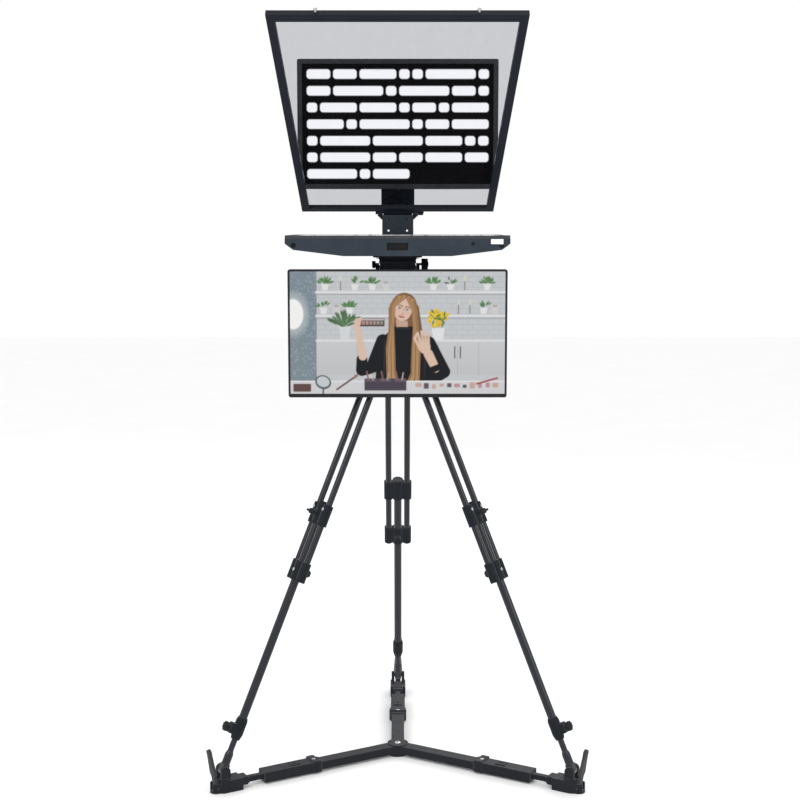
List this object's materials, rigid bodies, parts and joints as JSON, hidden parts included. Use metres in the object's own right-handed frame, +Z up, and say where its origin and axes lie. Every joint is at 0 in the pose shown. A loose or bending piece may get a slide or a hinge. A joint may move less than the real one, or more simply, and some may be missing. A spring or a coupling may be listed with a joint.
{
  "type": "teleprompter",
  "caption": "Tripod teleprompter: flat text monitor under a leaning half-silvered mirror, a presenter display, and a telescopic ground spreader.",
  "frame": {"origin": "on the ground under the tripod's centre", "axes": "+Z up, -Y towards the presenter, +X to the presenter's right-hand side of the picture"},
  "size_m": [0.9338, 0.8099, 1.8828],
  "materials": {
    "tube_black": "black anodised satin",
    "casting_black": "dark grey-blue powder coat",
    "knob_black": "matt black moulded",
    "plate_grey": "slate powder coat",
    "steel": "zinc plated",
    "frame_black": "navy-black satin",
    "mirror": "half-silvered glass",
    "shell_grey": "textured grey moulded",
    "screen": "display panel",
    "board": "circuit board",
    "strap_rubber": "moulded rubber"
  },
  "bodies": {
    "tripod_crown": {"crown": "casting_black"},
    "rear_leg": {"rear_leg_upper": "tube_black"},
    "rear_stage": {"rear_leg_middle": "tube_black"},
    "rear_tip": {"rear_leg_tip": "tube_black"},
    "rear_foot": {"rear_foot_cup": "plate_grey"},
    "rear_strap": {"rear_foot_strap": "strap_rubber"},
    "rear_wing": {"rear_leg_wing_knob": "knob_black"},
    "rear_clamp": {"rear_leg_clamp_knob": "knob_black"},
    "rear_slider": {"rear_spreader_slider": "plate_grey"},
    "left_leg": {"left_leg_upper": "tube_black"},
    "left_stage": {"left_leg_middle": "tube_black"},
    "left_tip": {"left_leg_tip": "tube_black"},
    "left_foot": {"left_foot_cup": "plate_grey"},
    "left_strap": {"left_foot_strap": "strap_rubber"},
    "left_wing": {"left_leg_wing_knob": "knob_black"},
    "left_clamp": {"left_leg_clamp_knob": "knob_black"},
    "left_slider": {"left_spreader_slider": "plate_grey"},
    "right_leg": {"right_leg_upper": "tube_black"},
    "right_stage": {"right_leg_middle": "tube_black"},
    "right_tip": {"right_leg_tip": "tube_black"},
    "right_foot": {"right_foot_cup": "plate_grey"},
    "right_strap": {"right_foot_strap": "strap_rubber"},
    "right_wing": {"right_leg_wing_knob": "knob_black"},
    "right_clamp": {"right_leg_clamp_knob": "knob_black"},
    "right_slider": {"right_spreader_slider": "plate_grey"},
    "spreader_hub": {"spreader_hub": "plate_grey"},
    "bowl_ball": {"half_ball": "casting_black", "head_base": "casting_black"},
    "bowl_clamp": {"bowl_knob": "knob_black"},
    "pan_lock": {"pan_knob": "knob_black"},
    "pan_body": {"head_body": "casting_black"},
    "cradle": {"head_cradle": "casting_black", "pan_handle": "knob_black", "rail_clamp": "casting_black"},
    "tilt_lock": {"tilt_knob": "knob_black"},
    "rail_lock": {"rail_knob": "knob_black"},
    "rail_release": {"rail_lever": "knob_black"},
    "carrier": {"base_rail": "plate_grey", "tray": "casting_black", "carrier_screws": "steel", "upright_plate": "plate_grey", "camera_shelf": "casting_black", "hinge_clevis": "frame_black", "text_back": "shell_grey", "text_bezel": "shell_grey", "text_panel": "screen", "text_board": "board", "display_arm": "casting_black"},
    "mirror": {"mirror_frame": "frame_black", "mirror_glass": "mirror", "hood_studs": "steel"},
    "mirror_lock": {"hinge_knob": "knob_black"},
    "camera_slide_plate": {"camera_plate": "plate_grey"},
    "camera_bolt": {"camera_screw": "steel"},
    "power_button": {"text_button": "knob_black"},
    "presenter_display": {"display_bezel": "shell_grey", "display_panel": "screen", "display_back": "shell_grey", "display_mount": "casting_black"},
    "display_lock": {"display_knob": "knob_black"}
  },
  "joints": [
    {"name": "leg_fold", "type": "hinge", "parent": "tripod_crown", "child": "rear_leg", "pos_m": [0, 0.06, 1.027], "axis": [1, 0, 0], "range_deg": [-5, 0]},
    {"name": "leg_height", "type": "slide", "parent": "rear_leg", "child": "rear_stage", "axis": [0, -0.4067, 0.9135], "range_m": [-0.06, 0.06]},
    {"name": "rear_tip_slide", "type": "slide", "parent": "rear_stage", "child": "rear_tip", "axis": [0, -0.4067, 0.9135], "range_m": [-0.0301, 0.0301]},
    {"name": "rear_ankle", "type": "hinge", "parent": "rear_tip", "child": "rear_foot", "pos_m": [0, 0.4941, 0.052], "axis": [1, 0, 0], "range_deg": [-0.1, 5.1]},
    {"name": "rear_strap_swing", "type": "hinge", "parent": "rear_foot", "child": "rear_strap", "pos_m": [0, 0.5141, 0.013], "axis": [1, 0, 0], "range_deg": [-30, 10]},
    {"name": "rear_wing_turn", "type": "hinge", "parent": "rear_stage", "child": "rear_wing", "pos_m": [0, 0.24193, 0.67124], "axis": [0, 0.9135, 0.4067], "range_deg": [-90, 0]},
    {"name": "rear_clamp_turn", "type": "hinge", "parent": "rear_stage", "child": "rear_clamp", "pos_m": [0, 0.47498, 0.15763], "axis": [0, 0.9135, 0.4067], "range_deg": [-180, 0]},
    {"name": "left_leg_fold", "type": "hinge", "parent": "tripod_crown", "child": "left_leg", "pos_m": [-0.05196, -0.03, 1.027], "axis": [-0.5, 0.866, 0], "range_deg": [-5.1, 0.1]},
    {"name": "left_leg_height", "type": "slide", "parent": "left_leg", "child": "left_stage", "axis": [0.3522, 0.2034, 0.9135], "range_m": [-0.0601, 0.0601]},
    {"name": "left_tip_slide", "type": "slide", "parent": "left_stage", "child": "left_tip", "axis": [0.3522, 0.2034, 0.9135], "range_m": [-0.0301, 0.0301]},
    {"name": "left_ankle", "type": "hinge", "parent": "left_tip", "child": "left_foot", "pos_m": [-0.4279, -0.24705, 0.052], "axis": [-0.5, 0.866, 0], "range_deg": [-0.1, 5.1]},
    {"name": "left_strap_swing", "type": "hinge", "parent": "left_foot", "child": "left_strap", "pos_m": [-0.44522, -0.25705, 0.013], "axis": [-0.5, 0.866, 0], "range_deg": [-30, 10]},
    {"name": "left_wing_turn", "type": "hinge", "parent": "left_stage", "child": "left_wing", "pos_m": [-0.20952, -0.12097, 0.67124], "axis": [-0.7912, -0.4568, 0.4067], "range_deg": [-90, 0]},
    {"name": "left_clamp_turn", "type": "hinge", "parent": "left_stage", "child": "left_clamp", "pos_m": [-0.41135, -0.23749, 0.15763], "axis": [-0.7912, -0.4568, 0.4067], "range_deg": [-180, 0]},
    {"name": "right_leg_fold", "type": "hinge", "parent": "tripod_crown", "child": "right_leg", "pos_m": [0.05196, -0.03, 1.027], "axis": [-0.5, -0.866, 0], "range_deg": [-5.1, 0.1]},
    {"name": "right_leg_height", "type": "slide", "parent": "right_leg", "child": "right_stage", "axis": [-0.3522, 0.2034, 0.9135], "range_m": [-0.0601, 0.0601]},
    {"name": "right_tip_slide", "type": "slide", "parent": "right_stage", "child": "right_tip", "axis": [-0.3522, 0.2034, 0.9135], "range_m": [-0.0301, 0.0301]},
    {"name": "right_ankle", "type": "hinge", "parent": "right_tip", "child": "right_foot", "pos_m": [0.4279, -0.24705, 0.052], "axis": [-0.5, -0.866, 0], "range_deg": [-0.1, 5.1]},
    {"name": "right_strap_swing", "type": "hinge", "parent": "right_foot", "child": "right_strap", "pos_m": [0.44522, -0.25705, 0.013], "axis": [-0.5, -0.866, 0], "range_deg": [-30, 10]},
    {"name": "right_wing_turn", "type": "hinge", "parent": "right_stage", "child": "right_wing", "pos_m": [0.20952, -0.12097, 0.67124], "axis": [0.7912, -0.4568, 0.4067], "range_deg": [-90, 0]},
    {"name": "right_clamp_turn", "type": "hinge", "parent": "right_stage", "child": "right_clamp", "pos_m": [0.41135, -0.23749, 0.15763], "axis": [0.7912, -0.4568, 0.4067], "range_deg": [-180, 0]},
    {"name": "rear_bar_slide", "type": "slide", "parent": "rear_foot", "child": "rear_slider", "axis": [0, 1, 0], "range_m": [-0.03711, 0.03711]},
    {"name": "rear_arm_slide", "type": "slide", "parent": "rear_slider", "child": "spreader_hub", "axis": [0, 1, 0], "range_m": [-0.0005, 0.08713]},
    {"name": "left_arm_slide", "type": "slide", "parent": "spreader_hub", "child": "left_slider", "axis": [-0.866, -0.5, 0], "range_m": [-0.08713, 0.0005]},
    {"name": "right_arm_slide", "type": "slide", "parent": "spreader_hub", "child": "right_slider", "axis": [0.866, -0.5, 0], "range_m": [-0.08713, 0.0005]},
    {"name": "head_level", "type": "hinge", "parent": "tripod_crown", "child": "bowl_ball", "pos_m": [0, 0, 1.062], "axis": [0, 1, 0], "range_deg": [-4, 4]},
    {"name": "bowl_clamp_turn", "type": "hinge", "parent": "bowl_ball", "child": "bowl_clamp", "pos_m": [0, 0, 0.977], "axis": [0, 0, 1], "range_deg": [-180, 0]},
    {"name": "pan_lock_turn", "type": "hinge", "parent": "bowl_ball", "child": "pan_lock", "pos_m": [0, 0.0425, 1.089], "axis": [0, 1, 0], "range_deg": [-120, 0]},
    {"name": "pan", "type": "hinge", "parent": "bowl_ball", "child": "pan_body", "pos_m": [0, 0, 1.107], "axis": [0, 0, 1], "range_deg": [-7, 7]},
    {"name": "tilt", "type": "hinge", "parent": "pan_body", "child": "cradle", "pos_m": [0, 0, 1.186], "axis": [-1, 0, 0], "range_deg": [0, 15]},
    {"name": "tilt_lock_turn", "type": "hinge", "parent": "cradle", "child": "tilt_lock", "pos_m": [-0.04, 0, 1.186], "axis": [-1, 0, 0], "range_deg": [-90, 0]},
    {"name": "rail_lock_turn", "type": "hinge", "parent": "cradle", "child": "rail_lock", "pos_m": [0.06, 0, 1.281], "axis": [1, 0, 0], "range_deg": [-180, 0]},
    {"name": "rail_release_swing", "type": "hinge", "parent": "cradle", "child": "rail_release", "pos_m": [-0.0555, 0, 1.281], "axis": [1, 0, 0], "range_deg": [0, 60]},
    {"name": "rail_slide", "type": "slide", "parent": "cradle", "child": "carrier", "axis": [0, 1, 0], "range_m": [-0.04, 0.004]},
    {"name": "mirror_fold", "type": "hinge", "parent": "carrier", "child": "mirror", "pos_m": [0, 0.272, 1.414], "axis": [1, 0, 0], "range_deg": [-20, 40]},
    {"name": "mirror_lock_turn", "type": "hinge", "parent": "carrier", "child": "mirror_lock", "pos_m": [0.06, 0.272, 1.414], "axis": [1, 0, 0], "range_deg": [-120, 0]},
    {"name": "camera_slide", "type": "slide", "parent": "carrier", "child": "camera_slide_plate", "axis": [0, 1, 0], "range_m": [-0.03, 0.03]},
    {"name": "camera_screw_turn", "type": "hinge", "parent": "camera_slide_plate", "child": "camera_bolt", "pos_m": [0, 0.378, 1.414], "axis": [0, 0, 1], "continuous": true},
    {"name": "power_press", "type": "slide", "parent": "carrier", "child": "power_button", "axis": [0, 1, 0], "range_m": [0, 0.001]},
    {"name": "display_tilt", "type": "hinge", "parent": "carrier", "child": "presenter_display", "pos_m": [0, -0.068, 1.133], "axis": [-1, 0, 0], "range_deg": [0, 5]},
    {"name": "display_lock_turn", "type": "hinge", "parent": "carrier", "child": "display_lock", "pos_m": [-0.035, -0.068, 1.133], "axis": [-1, 0, 0], "range_deg": [-120, 0]}
  ],
  "couplings": [
    {"joint": "rear_tip_slide", "follows": "leg_height", "ratio": 0.5},
    {"joint": "rear_ankle", "follows": "leg_fold", "ratio": -1},
    {"joint": "left_tip_slide", "follows": "leg_height", "ratio": 0.5},
    {"joint": "left_ankle", "follows": "leg_fold", "ratio": -1},
    {"joint": "left_leg_fold", "follows": "leg_fold", "ratio": 1},
    {"joint": "left_leg_height", "follows": "leg_height", "ratio": 1},
    {"joint": "right_tip_slide", "follows": "leg_height", "ratio": 0.5},
    {"joint": "right_ankle", "follows": "leg_fold", "ratio": -1},
    {"joint": "right_leg_fold", "follows": "leg_fold", "ratio": 1},
    {"joint": "right_leg_height", "follows": "leg_height", "ratio": 1},
    {"joint": "rear_bar_slide", "follows": "leg_height", "ratio": 0.61011},
    {"joint": "rear_arm_slide", "follows": "leg_fold", "m_per_rad": -0.99269},
    {"joint": "left_arm_slide", "follows": "leg_fold", "m_per_rad": 0.99269},
    {"joint": "right_arm_slide", "follows": "leg_fold", "m_per_rad": 0.99269}
  ]
}
